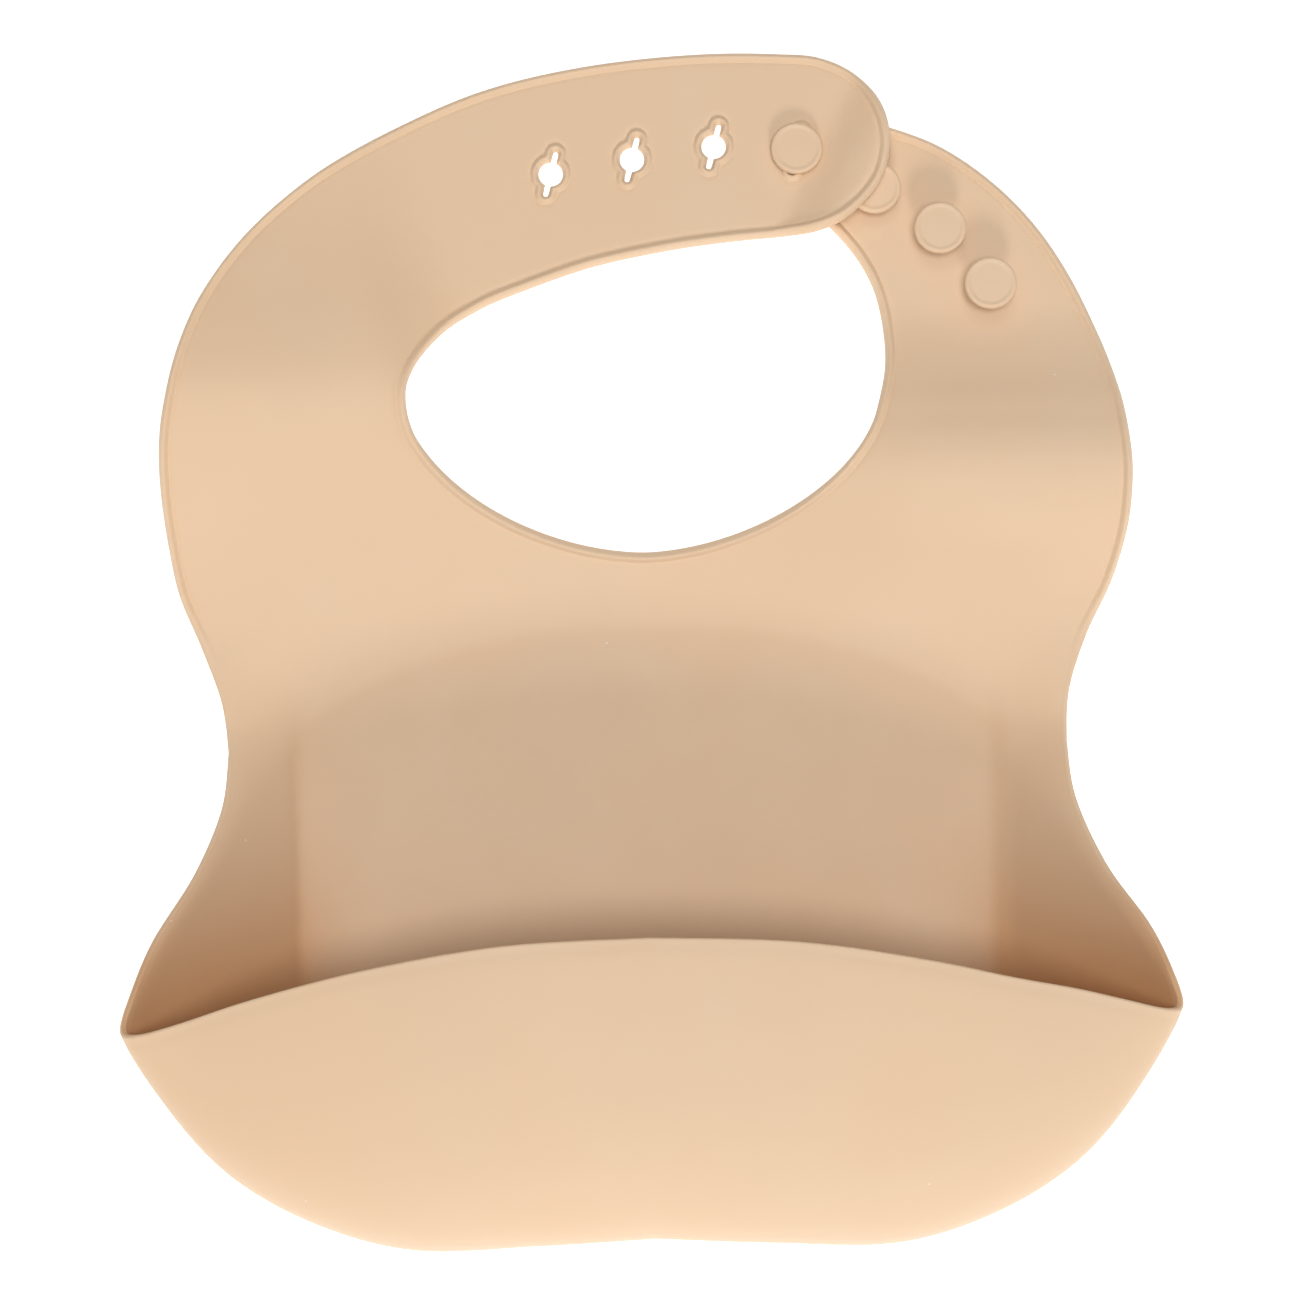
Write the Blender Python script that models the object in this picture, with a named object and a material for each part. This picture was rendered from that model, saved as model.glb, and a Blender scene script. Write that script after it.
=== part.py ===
"""Silicone baby bib with a catch pocket, modelled fastened, the way it hangs when it is worn.

One soft moulding, divided where it bends: a chest panel, a catch pocket that hinges on the panel's bottom edge,
two straps that hinge on the shoulders, and a tab with four buttonholes that hinges on the end of one strap.
Four mushroom studs stand on the other strap, and the tab's last buttonhole is closed over the first of them.

Frame, in metres: +Z up, the front faces -Y, X runs across. The origin is the middle of the neck opening, in the
middle plane of the pocket's flat back plate. Sizes below are in millimetres and are turned into metres by MM.
"""
import math

import bmesh
import bpy
from mathutils import Matrix, Vector

MM = 0.001

# ---- Driving dimensions, in millimetres ------------------------------------------------------------------
SHEET = 2.0                 # thickness of the panel, straps and tab
POCKET_WALL = 1.8           # thickness of the pocket's walls
SEAM = 0.9                  # clearance between the parts of the moulding that turn against each other

NECK_HALF_WIDTH = 53.6      # lower half of the neck opening
NECK_DEPTH = 35.2
NECK_POWER = 1.78           # 2 would make it an ellipse

PLATE_HALF_WIDTH = 80.6     # flat back plate of the pocket
PLATE_BOTTOM = -178.0
PLATE_CORNER = 34.0         # radius of its lower corners
WAIST_Z = -78.0             # the narrowest part of the panel, where the pocket's side walls start

ARCH_TOP = -52.0            # the chest sheet starts to lean forward above an arch over the back plate
ARCH_DROP = 25.0            # how much lower the arch is at the edges of the plate
ARCH_POWER = 2.6
CREST_LEAN = 10.0           # how far forward of the plate the shoulders lie
WAIST_FLARE = 0.6           # forward slope of the sheet beyond the plate's edges, at the waist
FLARE_TOP = -42.0           # height where that slope has faded out

SHOULDER_Z = 0.0            # fold line of both straps
SHOULDER_HINGE = (0.0, -CREST_LEAN, SHOULDER_Z)
FOLD_OVERHANG = 0.6         # a strap's end reaches this far past its fold line
STRAP_SLOPE = 0.10          # how fast the straps lean back above the shoulders
STRAP_SLOPE_START = 4.0
STRAP_SPACING = 4.0         # the button strap lies this far behind the tab's strap
SPACING_RAMP = (2.0, 20.0)  # heights between which the button strap moves back

TAB_HINGE_TOP = (-44.5, 67.6)     # the two ends of the tab's fold line
TAB_HINGE_BOTTOM = (-30.0, 23.2)
TAB_LIFT = 4.7              # rise of the tab's end over the second stud
TAB_LIFT_START = 4.4        # measured from the first stud towards the second
TAB_LIFT_END = 14.6

STUD_PLACES = [(36.0, 55.4), (53.7, 46.3), (68.2, 36.6), (79.3, 23.7)]
STUD_HEAD_RADIUS = 5.9
STUD_HEAD_THICKNESS = 1.8
STUD_STEM_RADIUS = 2.45
STUD_STEM_HEIGHT = 4.5      # from the strap's face to the underside of the head
STUD_BASE_GAP = 0.3

HOLE_PLACES = [(-20.1, 50.8), (-1.5, 53.8), (17.2, 55.8), STUD_PLACES[0]]
HOLE_RADIUS = 3.0
SLIT_LENGTH = 10.8
SLIT_WIDTH = 1.3
HOLE_TILT = math.radians(13.0)    # the slits lean to +X at the top

SILICONE_COLOUR = (0.72, 0.50, 0.32, 1.0)
SHEET_ROUGHNESS = 0.6
STUD_ROUGHNESS = 0.5        # the stud heads are a little smoother


# ---- Small helpers -----------------------------------------------------------------------------------------
def clear_scene():
    for old in list(bpy.data.objects):
        bpy.data.objects.remove(old)


def smooth_step(value, low, high):
    """0 below low, 1 above high, and a soft S between them."""
    t = min(max((value - low) / (high - low), 0.0), 1.0)
    return t * t * (3.0 - 2.0 * t)


def curve_through(points, per_span):
    """A Catmull-Rom curve through points of any dimension, with per_span steps from each point to the next."""
    path = []
    last = len(points) - 1
    for i in range(last):
        a, b = points[max(i - 1, 0)], points[i]
        c, d = points[i + 1], points[min(i + 2, last)]
        for k in range(per_span):
            t = k / per_span
            weights = (
                (-t + 2 * t * t - t ** 3) / 2,
                (2 - 5 * t * t + 3 * t ** 3) / 2,
                (t + 4 * t * t - 3 * t ** 3) / 2,
                (t ** 3 - t * t) / 2,
            )
            path.append(tuple(sum(w * p[j] for w, p in zip(weights, (a, b, c, d))) for j in range(len(b))))
    path.append(tuple(points[last]))
    return path


def mirrored(points):
    """The same points on the other side of the X = 0 plane, in reverse order."""
    return [(-p[0],) + tuple(p[1:]) for p in reversed(points)]


def silicone(name, roughness):
    material = bpy.data.materials.new(name)
    material.use_nodes = True
    shader = material.node_tree.nodes["Principled BSDF"]
    shader.inputs["Base Color"].default_value = SILICONE_COLOUR
    shader.inputs["Roughness"].default_value = roughness
    shader.inputs["Metallic"].default_value = 0.0
    return material


def add_object(name, bm, material, origin=(0.0, 0.0, 0.0)):
    """Turn a bmesh in millimetres into an object in metres whose origin is at the given point."""
    origin = Vector(origin)
    bmesh.ops.transform(bm, matrix=Matrix.Translation(-origin), verts=bm.verts)
    bmesh.ops.scale(bm, vec=(MM, MM, MM), verts=bm.verts)
    mesh = bpy.data.meshes.new(name)
    bm.to_mesh(mesh)
    bm.free()
    mesh.materials.append(material)
    mesh.shade_smooth()
    mesh.set_sharp_from_angle(angle=math.radians(40.0))
    thing = bpy.data.objects.new(name, mesh)
    thing.location = origin * MM
    bpy.context.scene.collection.objects.link(thing)
    return thing


def thicken(thing, thickness):
    """Give an open sheet its thickness, half to each side."""
    modifier = thing.modifiers.new("thickness", "SOLIDIFY")
    modifier.thickness = thickness * MM
    modifier.offset = 0.0
    modifier.use_even_offset = True
    modifier.use_quality_normals = True


# ---- The shape of the sheet ---------------------------------------------------------------------------------
def panel_depth(x, z):
    """Y of the chest sheet's middle plane: flat behind the pocket, then leaning forward above the arch."""
    side = abs(x)
    arch = ARCH_TOP - ARCH_DROP * (side / (PLATE_HALF_WIDTH + 3.0)) ** ARCH_POWER
    lean = CREST_LEAN * smooth_step(z, arch, SHOULDER_Z - 3.0)
    fade = 1.0 - smooth_step(z, WAIST_Z, FLARE_TOP)
    flare = WAIST_FLARE * max(side - PLATE_HALF_WIDTH, 0.0) * fade
    return -(lean + flare)


def hole_strap_depth(x, z):
    """Y of the middle plane of the strap that carries the tab."""
    return -CREST_LEAN + STRAP_SLOPE * max(z - STRAP_SLOPE_START, 0.0)


def button_strap_depth(x, z):
    """Y of the middle plane of the strap that carries the studs, which passes behind the tab."""
    return hole_strap_depth(x, z) + STRAP_SPACING * smooth_step(z, *SPACING_RAMP)


def tab_depth(x, z):
    """Y of the tab's middle plane: the strap's own plane, rising over the second stud's head."""
    (x1, z1), (x2, z2) = STUD_PLACES[0], STUD_PLACES[1]
    pitch = math.hypot(x2 - x1, z2 - z1)
    along = ((x - x1) * (x2 - x1) + (z - z1) * (z2 - z1)) / pitch
    return hole_strap_depth(x, z) - TAB_LIFT * smooth_step(along, TAB_LIFT_START, TAB_LIFT_END)


# ---- Outlines, as (x, z) -------------------------------------------------------------------------------------
WAIST_TO_SHOULDER = [
    (95.2, WAIST_Z), (95.9, -68.0), (99.6, -56.0), (105.2, -44.0), (108.5, -32.0), (109.8, -20.0),
    (109.6, -10.0), (108.4, -SEAM - FOLD_OVERHANG),
]
BUTTON_STRAP_OUTER = [
    (108.1, -FOLD_OVERHANG), (104.7, 11.4), (98.8, 25.2), (91.0, 37.8), (81.2, 48.4), (69.8, 56.7), (58.4, 61.5),
    (47.6, 64.4), (38.0, 66.6), (30.0, 66.8), (24.6, 63.0), (22.6, 56.4), (25.0, 49.8), (32.0, 45.6),
]
BUTTON_STRAP_INNER = [
    (32.0, 45.6), (39.2, 42.2), (45.2, 36.8), (50.2, 30.2), (53.6, 22.8), (55.2, 14.0), (55.2, 5.5),
    (54.0, -FOLD_OVERHANG),
]
HOLE_STRAP_OUTER = [
    (-108.1, -FOLD_OVERHANG), (-104.8, 13.0), (-99.6, 25.4), (-90.0, 38.3), (-77.2, 49.6), (-61.4, 59.6),
    TAB_HINGE_TOP,
]
HOLE_STRAP_INNER = [
    TAB_HINGE_BOTTOM, (-38.0, 19.6), (-45.2, 15.2), (-51.2, 8.8), (-53.6, -FOLD_OVERHANG),
]
TAB_OUTER = [
    TAB_HINGE_TOP, (-30.2, 72.5), (-14.2, 75.9), (1.8, 77.9), (17.8, 78.8), (32.0, 78.5), (41.7, 77.5),
]
TAB_INNER = [
    (33.0, 36.1), (20.0, 35.0), (5.6, 33.1), (-12.0, 29.4), TAB_HINGE_BOTTOM,
]
TAB_END = [
    (41.7, 77.5), (50.0, 73.4), (55.4, 66.4), (57.2, 57.6), (54.8, 48.0), (47.6, 40.2), (40.6, 37.0), (33.0, 36.1),
]


def neck_edge(steps):
    """Lower half of the neck opening, from +X round the bottom to -X."""
    points = []
    for i in range(steps + 1):
        turn = math.pi * i / steps
        across = math.copysign(abs(math.cos(turn)) ** (2.0 / NECK_POWER), math.cos(turn))
        down = math.sin(turn) ** (2.0 / NECK_POWER)
        points.append((NECK_HALF_WIDTH * across, -NECK_DEPTH * down))
    return points


def plate_corner(steps, clearance=0.0):
    """Lower corner of the back plate on the +X side, from its side edge round to its bottom edge."""
    centre_x = PLATE_HALF_WIDTH - PLATE_CORNER
    centre_z = PLATE_BOTTOM + PLATE_CORNER
    radius = PLATE_CORNER + clearance
    points = []
    for i in range(steps + 1):
        turn = 0.5 * math.pi * i / steps
        points.append((centre_x + radius * math.cos(turn), centre_z - radius * math.sin(turn)))
    return points


# ---- Sheets cut from an outline -------------------------------------------------------------------------------
def sheet_mesh(outline, depth, columns, rows):
    """A flat face of the given outline, cut along X columns and Z rows, then moved to its depth."""
    bm = bmesh.new()
    bm.faces.new([bm.verts.new((x, 0.0, z)) for x, z in outline])
    for x in columns:
        everything = bm.verts[:] + bm.edges[:] + bm.faces[:]
        bmesh.ops.bisect_plane(bm, geom=everything, dist=0.01, plane_co=(x, 0, 0), plane_no=(1, 0, 0))
    for z in rows:
        everything = bm.verts[:] + bm.edges[:] + bm.faces[:]
        bmesh.ops.bisect_plane(bm, geom=everything, dist=0.01, plane_co=(0, 0, z), plane_no=(0, 0, 1))
    bmesh.ops.remove_doubles(bm, verts=bm.verts, dist=0.05)
    bmesh.ops.triangulate(bm, faces=bm.faces[:])
    for vert in bm.verts:
        vert.co.y = depth(vert.co.x, vert.co.z)
    bmesh.ops.recalc_face_normals(bm, faces=bm.faces)
    return bm


def bib_panel(material):
    side = curve_through(WAIST_TO_SHOULDER, 3)
    shoulder = -SEAM - FOLD_OVERHANG
    neck = [p for p in neck_edge(32) if p[1] < shoulder - 0.5]
    step = [(PLATE_HALF_WIDTH, WAIST_Z)]
    bottom = plate_corner(7) + mirrored(plate_corner(7))
    neck_line = [(NECK_HALF_WIDTH, shoulder)] + neck + [(-NECK_HALF_WIDTH, shoulder)]
    outline = side + neck_line + mirrored(side) + mirrored(step) + list(reversed(bottom)) + step
    columns = [-101, -91, -PLATE_HALF_WIDTH, -67, -50, -25, 0, 25, 50, 67, PLATE_HALF_WIDTH, 91, 101]
    rows = [-70, -62, -54, -46, -37, -27, -17, -8]
    thing = add_object("bib_panel", sheet_mesh(outline, panel_depth, columns, rows), material)
    thicken(thing, SHEET)
    return thing


def button_strap(material):
    outline = curve_through(BUTTON_STRAP_OUTER, 3) + curve_through(BUTTON_STRAP_INNER, 3)[1:]
    bm = sheet_mesh(outline, button_strap_depth, [], [4, 8, 11, 14, 18])
    thing = add_object("button_strap", bm, material, SHOULDER_HINGE)
    thicken(thing, SHEET)
    return thing


def hole_strap(material):
    outer = HOLE_STRAP_OUTER[:-1] + [tab_fold_end(TAB_HINGE_TOP, SEAM + FOLD_OVERHANG)]
    inner = [tab_fold_end(TAB_HINGE_BOTTOM, SEAM + FOLD_OVERHANG)] + HOLE_STRAP_INNER[1:]
    outline = curve_through(outer, 3) + curve_through(inner, 3)
    bm = sheet_mesh(outline, hole_strap_depth, [], [STRAP_SLOPE_START])
    thing = add_object("hole_strap", bm, material, SHOULDER_HINGE)
    thicken(thing, SHEET)
    return thing


# ---- The tab with its buttonholes ------------------------------------------------------------------------------
def tab_fold_end(point, back):
    """An end of the tab's fold line, moved back along the strap, away from the tab."""
    along = Vector((TAB_HINGE_TOP[1] - TAB_HINGE_BOTTOM[1], TAB_HINGE_BOTTOM[0] - TAB_HINGE_TOP[0])).normalized()
    return (point[0] - along.x * back, point[1] - along.y * back)


def buttonhole_outline():
    """A round hole with a slit above and below it, centred on the origin, as (x, z)."""
    half = SLIT_WIDTH / 2.0
    meet = math.asin(half / HOLE_RADIUS)
    tip = SLIT_LENGTH / 2.0 - half
    upper = []
    for i in range(5):
        turn = math.pi * i / 4
        upper.append((half * math.cos(turn), tip + half * math.sin(turn)))
    for i in range(9):
        turn = math.pi / 2 + meet + (math.pi - 2 * meet) * i / 8
        upper.append((HOLE_RADIUS * math.cos(turn), HOLE_RADIUS * math.sin(turn)))
    return upper + [(-x, -z) for x, z in upper]


def buttonhole_cutter():
    bm = bmesh.new()
    lean = math.sin(HOLE_TILT), math.cos(HOLE_TILT)
    for centre_x, centre_z in HOLE_PLACES:
        near, far = [], []
        for x, z in buttonhole_outline():
            px = centre_x + x * lean[1] + z * lean[0]
            pz = centre_z - x * lean[0] + z * lean[1]
            near.append(bm.verts.new((px, -30.0, pz)))
            far.append(bm.verts.new((px, 20.0, pz)))
        bm.faces.new(near)
        bm.faces.new(list(reversed(far)))
        for i in range(len(near)):
            j = (i + 1) % len(near)
            bm.faces.new((near[j], near[i], far[i], far[j]))
    bmesh.ops.recalc_face_normals(bm, faces=bm.faces)
    return bm


def tab_hinge_point():
    x = (TAB_HINGE_TOP[0] + TAB_HINGE_BOTTOM[0]) / 2
    z = (TAB_HINGE_TOP[1] + TAB_HINGE_BOTTOM[1]) / 2
    return (x, hole_strap_depth(x, z), z)


def strap_tab(material):
    outer = [tab_fold_end(TAB_HINGE_TOP, FOLD_OVERHANG)] + TAB_OUTER[1:]
    inner = TAB_INNER[:-1] + [tab_fold_end(TAB_HINGE_BOTTOM, FOLD_OVERHANG)]
    outline = curve_through(outer, 3) + curve_through(TAB_END, 4)[1:] + curve_through(inner, 3)[1:]
    bm = sheet_mesh(outline, tab_depth, [36, 39, 42, 45, 48, 51, 54], [42, 46, 50, 54, 58, 62, 66, 70, 74])
    thing = add_object("strap_tab", bm, material, tab_hinge_point())
    thicken(thing, SHEET)
    cutter = add_object("buttonhole_cutter", buttonhole_cutter(), material)
    cutter.hide_render = True
    cutter.display_type = "WIRE"
    holes = thing.modifiers.new("buttonholes", "BOOLEAN")
    holes.operation = "DIFFERENCE"
    holes.solver = "EXACT"
    holes.object = cutter
    return thing


# ---- Studs ------------------------------------------------------------------------------------------------------
def stud_profile():
    """Radius and height of the turned mushroom shape, from its foot up to the middle of its head."""
    under = STUD_STEM_HEIGHT
    top = STUD_STEM_HEIGHT + STUD_HEAD_THICKNESS
    return [
        (0.0, STUD_BASE_GAP), (STUD_STEM_RADIUS + 0.9, STUD_BASE_GAP), (STUD_STEM_RADIUS + 0.2, 0.9),
        (STUD_STEM_RADIUS, 1.6), (STUD_STEM_RADIUS, under), (STUD_HEAD_RADIUS - 0.7, under),
        (STUD_HEAD_RADIUS - 0.1, under + 0.5), (STUD_HEAD_RADIUS, under + 0.9), (STUD_HEAD_RADIUS - 0.2, top - 0.3),
        (STUD_HEAD_RADIUS - 0.7, top), (STUD_HEAD_RADIUS - 1.2, top - 0.15), (0.0, top - 0.15),
    ]


def stud_mesh(segments):
    bm = bmesh.new()
    verts = [bm.verts.new((radius, 0.0, height)) for radius, height in stud_profile()]
    edges = [bm.edges.new(pair) for pair in zip(verts, verts[1:])]
    bmesh.ops.spin(
        bm, geom=verts + edges, cent=(0, 0, 0), axis=(0, 0, 1), angle=2 * math.pi, steps=segments,
    )
    bmesh.ops.remove_doubles(bm, verts=bm.verts, dist=0.01)
    bmesh.ops.recalc_face_normals(bm, faces=bm.faces)
    return bm


def button_studs(material):
    """Four studs in a row, standing square on the button strap's front face."""
    lean = math.atan(STRAP_SLOPE)
    outward = Vector((0.0, -math.cos(lean), math.sin(lean)))
    studs = []
    for number, (x, z) in enumerate(STUD_PLACES, start=1):
        stud = add_object(f"button_stud_{number}", stud_mesh(28), material)
        foot = Vector((x, button_strap_depth(x, z), z)) + outward * (SHEET / 2)
        stud.location = foot * MM
        stud.rotation_euler = (math.pi / 2 - lean, 0.0, 0.0)
        studs.append(stud)
    return studs


# ---- The catch pocket ---------------------------------------------------------------------------------------------
# One side of the pocket as sections, from the waist round the front corner to the middle. Each section is a
# cubic line given by four points (x, y, z): on the crease beside the back plate, two handles, and on the rim.
POCKET_SECTIONS = [
    ((82.2, 0.0, -79.7), (86.5, -2.9, -79.7), (90.9, -5.8, -79.6), (95.2, -8.7, -79.5)),
    ((82.2, 0.0, -92.0), (86.8, -4.7, -92.3), (91.6, -9.6, -92.2), (96.1, -14.2, -92.0)),
    ((82.2, 0.0, -106.0), (88.6, -7.5, -107.0), (95.2, -15.0, -106.8), (101.2, -22.0, -106.0)),
    ((82.2, 0.0, -120.0), (91.0, -10.0, -122.0), (101.0, -20.5, -122.0), (109.4, -30.5, -120.0)),
    ((82.2, 0.0, -132.0), (94.0, -11.0, -136.0), (107.0, -24.0, -137.0), (113.6, -36.5, -131.5)),
    ((81.8, 0.0, -146.0), (97.0, -11.0, -155.0), (110.0, -26.0, -152.0), (115.2, -39.0, -138.0)),
    ((79.5, 0.0, -157.0), (93.0, -13.0, -171.0), (108.0, -33.0, -163.0), (112.0, -41.2, -138.8)),
    ((74.0, 0.0, -167.5), (84.0, -14.0, -185.5), (98.0, -38.0, -176.5), (103.0, -42.3, -136.0)),
    ((62.0, 0.0, -176.0), (68.0, -14.0, -195.0), (80.0, -45.0, -186.0), (86.0, -43.8, -131.2)),
    ((46.0, 0.0, -179.3), (50.0, -13.0, -201.0), (58.0, -48.0, -192.0), (62.0, -45.2, -125.6)),
    ((24.0, 0.0, -179.3), (26.0, -12.0, -200.5), (30.0, -50.0, -190.5), (32.0, -46.5, -120.7)),
    ((0.0, 0.0, -179.3), (0.0, -12.0, -199.0), (0.0, -51.0, -189.0), (0.0, -47.0, -119.3)),
]
POCKET_STEPS_ACROSS = 9
POCKET_STEPS_ALONG = 3
POCKET_HINGE = (0.0, 0.0, -180.0)


def section_line(section, steps):
    """Points along the cubic line of one pocket section."""
    a, b, c, d = section
    line = []
    for i in range(steps + 1):
        t = i / steps
        s = 1.0 - t
        weights = (s ** 3, 3 * s * s * t, 3 * s * t * t, t ** 3)
        line.append(tuple(sum(w * p[j] for w, p in zip(weights, (a, b, c, d))) for j in range(3)))
    return line


def pocket_grid(steps_along, steps_across):
    """Rows of points over the whole pocket, from the waist at -X round to the waist at +X."""
    rows = [curve_through([section[k] for section in POCKET_SECTIONS], steps_along) for k in range(4)]
    half = list(zip(*rows))
    whole = [tuple((-x, y, z) for x, y, z in section) for section in half] + half[-2::-1]
    return [section_line(section, steps_across) for section in whole]


def catch_pocket(material):
    grid = pocket_grid(POCKET_STEPS_ALONG, POCKET_STEPS_ACROSS)
    bm = bmesh.new()
    lines = [[bm.verts.new(point) for point in line] for line in grid]
    for line, following in zip(lines, lines[1:]):
        for i in range(len(line) - 1):
            bm.faces.new((line[i], line[i + 1], following[i + 1], following[i]))
    bmesh.ops.recalc_face_normals(bm, faces=bm.faces)
    thing = add_object("catch_pocket", bm, material, POCKET_HINGE)
    thicken(thing, POCKET_WALL)
    return thing


def main():
    clear_scene()
    sheet = silicone("silicone", SHEET_ROUGHNESS)
    bib_panel(sheet)
    catch_pocket(sheet)
    hole_strap(sheet)
    strap_tab(sheet)
    button_strap(sheet)
    button_studs(silicone("stud_silicone", STUD_ROUGHNESS))


main()
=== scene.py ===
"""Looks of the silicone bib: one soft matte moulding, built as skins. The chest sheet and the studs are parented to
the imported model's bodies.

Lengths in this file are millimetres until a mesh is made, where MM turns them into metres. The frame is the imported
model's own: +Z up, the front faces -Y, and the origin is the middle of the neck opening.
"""
import math

import bpy
import numpy as np
from mathutils import Matrix, Vector
from mathutils.geometry import delaunay_2d_cdt


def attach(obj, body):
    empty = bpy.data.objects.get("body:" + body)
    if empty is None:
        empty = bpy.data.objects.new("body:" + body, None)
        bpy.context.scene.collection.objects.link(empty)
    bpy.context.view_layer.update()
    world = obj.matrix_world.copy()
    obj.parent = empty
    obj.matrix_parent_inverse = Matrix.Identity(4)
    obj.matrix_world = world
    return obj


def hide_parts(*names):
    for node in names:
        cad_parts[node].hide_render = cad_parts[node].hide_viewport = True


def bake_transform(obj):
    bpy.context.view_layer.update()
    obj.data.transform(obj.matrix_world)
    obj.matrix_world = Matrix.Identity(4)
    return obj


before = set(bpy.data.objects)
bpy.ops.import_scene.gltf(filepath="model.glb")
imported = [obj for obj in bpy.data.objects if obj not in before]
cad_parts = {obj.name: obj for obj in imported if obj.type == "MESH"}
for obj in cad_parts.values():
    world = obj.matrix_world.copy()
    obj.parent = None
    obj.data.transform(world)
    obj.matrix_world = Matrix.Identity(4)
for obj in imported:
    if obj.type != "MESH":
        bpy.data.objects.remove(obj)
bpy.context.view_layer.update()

MM = 0.001

# ---- Camera -----------------------------------------------------------------
LENS = 85.0
SENSOR = 36.0
VIEW_WIDTH = 299.7          # width of the picture at the back plate
VIEW_CENTRE = (1.2, -57.9)  # X and Z at the middle of the picture
VIEW_ROLL = math.radians(0.9)


def make_camera():
    data = bpy.data.cameras.new("view")
    data.lens = LENS
    data.sensor_width = SENSOR
    data.clip_start = 0.01
    data.clip_end = 50.0
    camera = bpy.data.objects.new("view", data)
    distance = VIEW_WIDTH * LENS / SENSOR
    place = Matrix.Translation(Vector((VIEW_CENTRE[0], -distance, VIEW_CENTRE[1])) * MM)
    camera.matrix_world = place @ Matrix.Rotation(VIEW_ROLL, 4, "Y") @ Matrix.Rotation(math.pi / 2, 4, "X")
    bpy.context.scene.collection.objects.link(camera)
    bpy.context.scene.camera = camera


make_camera()

# ---- Driving dimensions of the moulding -------------------------------------
HALF_SHEET = 1.0            # half the sheet's thickness
HALF_LIP = 0.78             # half the thickness at the pocket's plain rim
LIP_FLAT = 0.3              # the rim keeps that thickness over this distance
LIP_WIDTH = 4.3             # and the sheet has its full thickness from here
EDGE_ROUND = 0.75           # radius of the beaded edge
LIP_ROUND = 0.45            # radius of the plain rim
BEAD_HEIGHT = 0.75          # raised edge on the front face
BEAD_WIDTH = 2.3
CREASE_PLACE = 2.4          # groove along the bead's inner side
CREASE_DEPTH = 0.16
CREASE_WIDTH = 0.3
BEAD_SIDE = 88.0            # further out than this, around the waist, the bead fades
BEAD_FADE = (-64.0, -40.0)  # between these heights
HOLE_BEAD_HEIGHT = 0.6
HOLE_BEAD_WIDTH = 1.95
# Distances from an edge at which the skins have rows of points
RINGS = (0.0, 0.06, 0.18, 0.36, 0.6, 0.9, 1.2, 1.5, 1.8, 2.05, 2.25, 2.4, 2.55, 2.8, 3.4, LIP_WIDTH)

NECK_HALF_WIDTH = 53.6      # lower half of the neck opening
NECK_DEPTH = 35.2
NECK_POWER = 1.78           # 2 would make it an ellipse

CREASE_X = 81.0             # the fold between the back plate and each side wall
CREASE_BLEND_LEFT = 1.8     # how soft that fold is
CREASE_BLEND_RIGHT = 5.0
CREASE_CHANGE = 60.0        # round the pocket's bottom it changes over this far on each side of the middle
SEAM_INSET = 11.0           # the pocket's skin starts this far inside the fold
WAIST_Z = -79.6
FLARE_SLOPE = 0.6           # forward slope of the sheet beyond the fold, at the waist
FLARE_TOP = -42.0           # it fades out up to here
FLARE_POWER = 1.73

ARCH_TOP = -52.0
ARCH_DROP = 25.0            # how much lower the arch is at the folds
ARCH_POWER = 2.6
ARCH_BLEND = 2.0            # how soft the arch's fold is
ARCH_SLOPE = 0.22           # forward slope of the sheet just above the arch
ARCH_FADE = 14.0

SHOULDER_SEAM_Z = -16.0     # the straps' skins start here
STRAP_LEVEL = -10.0
STRAP_SLOPE = 0.10          # how fast the straps lean back above the shoulders
STRAP_SLOPE_START = 4.0
STRAP_SPACING = 4.0         # the button strap lies this far behind the tab's strap
STRAP_START = 14.0          # the left strap leaves the chest's shape over this height above its seam
STRAP_FLATTEN = (-33.0, -4.0)   # and flattens between these distances past the tab's fold line
TIP_FLATTEN = (-4.0, 20.0)  # the button strap flattens between these heights

TAB_FOLD_TOP = (-44.5, 67.6)
TAB_FOLD_BOTTOM = (-30.0, 23.2)
TAB_SEAM = 12.5             # its skin starts this far before the fold line
TAB_LIFT = 4.1              # rise of the tab's end over the second stud
TAB_LIFT_START = 3.0        # measured from the first stud towards the second
TAB_LIFT_END = 16.6

STUD_PLACES = [(36.0, 55.4), (53.7, 46.3), (68.2, 36.6), (79.3, 23.7)]
HOLE_PLACES = [(-20.1, 51.3), (-1.5, 54.4), (17.2, 57.1), (36.1, 55.75)]
HOLE_RADIUS = 2.75
SLIT_HALF_LENGTH = 5.3
SLIT_HALF_WIDTH = 0.62
HOLE_BLEND = 0.38           # how softly the slit joins the round hole
HOLE_TILT = math.radians(14.5)
HOLE_STEPS = 88

EDGE_STEP = 1.6             # spacing of the points along a free edge
GRID = 2.2                  # spacing of the points inside a skin
GRID_CLEAR = 0.62           # share of GRID that they keep away from its rim
SEAM_BOW = 0.1
SEAM_REACH = 26.0           # rows along an edge turn to a seam's direction over this distance
LEFTWARD, RIGHTWARD = np.array((-1.0, 0.0)), np.array((1.0, 0.0))


# ---- Small mathematics ------------------------------------------------------
def smooth_step(value, low, high):
    """0 below low, 1 above high, and a soft S between them."""
    t = np.clip((value - low) / (high - low), 0.0, 1.0)
    return t * t * (3.0 - 2.0 * t)


def soft_ramp(value, blend):
    """0 for negative values, value itself for positive ones, rounded over blend on each side of 0."""
    rounded = (value + blend) ** 2 / (4.0 * blend)
    return np.where(value <= -blend, 0.0, np.where(value >= blend, value, rounded))


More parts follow.
